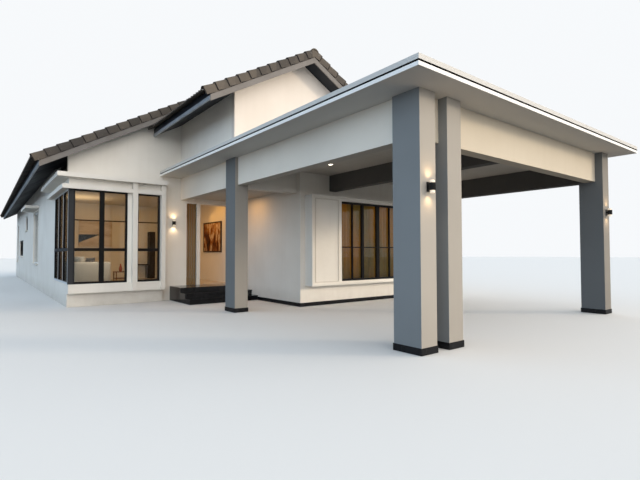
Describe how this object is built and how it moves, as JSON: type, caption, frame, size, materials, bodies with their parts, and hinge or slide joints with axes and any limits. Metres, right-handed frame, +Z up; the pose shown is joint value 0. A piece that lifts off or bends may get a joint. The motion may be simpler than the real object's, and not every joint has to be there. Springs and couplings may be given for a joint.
{
  "type": "bungalow",
  "caption": "Single-storey house with a tiled gable roof, a forward gable, a corner bay window, an open entrance porch and a flat-roofed carport on columns.",
  "frame": {"origin": "on the ground under the middle of the whole house's box", "axes": "+Z up, +Y from the carport towards the rear, +X to the right as seen from the carport"},
  "size_m": [11.77, 30.635, 7.2012],
  "materials": {
    "white_render": "painted stucco, matt",
    "grey_render": "painted stucco, matt",
    "dark_render": "painted stucco, matt",
    "concrete": "screed",
    "ceiling_board": "painted plasterboard, matt",
    "roof_boards": "dark stained boards",
    "roof_tile": "weathered concrete tile",
    "bargeboard_paint": "painted, satin",
    "fascia_paint": "painted, satin",
    "black_tile": "honed tile",
    "window_frame": "powder coated, satin",
    "window_glass": "clear",
    "lamp_metal": "satin black",
    "drape_cloth": "woven, gathered",
    "sofa_cloth": "woven",
    "cushion_cloth": "woven",
    "canvas": "painted canvas in a timber frame"
  },
  "bodies": {
    "root": {"floor_slab": "concrete", "left_side_wall": "white_render", "right_side_wall": "white_render", "rear_wall": "white_render", "right_front_wall": "white_render", "porch_side_wall": "white_render", "left_gable_wall": "white_render", "lamp_wall": "white_render", "entrance_lintel": "white_render", "entrance_post": "white_render", "sidelight_glass": "window_glass", "lower_step": "black_tile", "middle_step": "black_tile", "landing": "black_tile", "bay_base": "white_render", "bay_sill": "white_render", "bay_head": "white_render", "bay_ledge": "white_render", "bay_hood": "white_render", "bay_pilasters": "white_render", "bay_window_frames": "window_frame", "bay_side_frame": "window_frame", "bay_glass": "window_glass", "upper_side_wall": "white_render", "upper_front_wall": "white_render", "carport_roof": "white_render", "front_left_column": "grey_render", "second_front_column": "grey_render", "front_right_column": "grey_render", "rear_left_column": "grey_render", "left_beam": "white_render", "right_beam": "dark_render", "front_beam": "white_render", "middle_beam": "dark_render", "porch_beam": "white_render", "ceiling_panels": "ceiling_board", "window_surround": "white_render", "right_window_frame": "window_frame", "right_window_glass": "window_glass", "pelmet": "white_render", "window_drapes": "drape_cloth", "main_roof_left": "roof_boards", "main_roof_right": "roof_boards", "front_roof_left": "roof_boards", "front_roof_right": "roof_boards", "roof_tiles": "roof_tile", "bargeboards": "bargeboard_paint", "verge_tiles": "roof_tile", "ridge_tiles": "roof_tile", "eave_fascias": "fascia_paint", "inner_walls": "white_render", "room_ceiling": "ceiling_board", "foyer_picture": "canvas", "sofa": "sofa_cloth", "sofa_cushions": "cushion_cloth", "wall_lamps": "lamp_metal", "side_window_frames": "window_frame", "side_window_glass": "window_glass", "sills_and_hood": "white_render"}
  },
  "joints": []
}
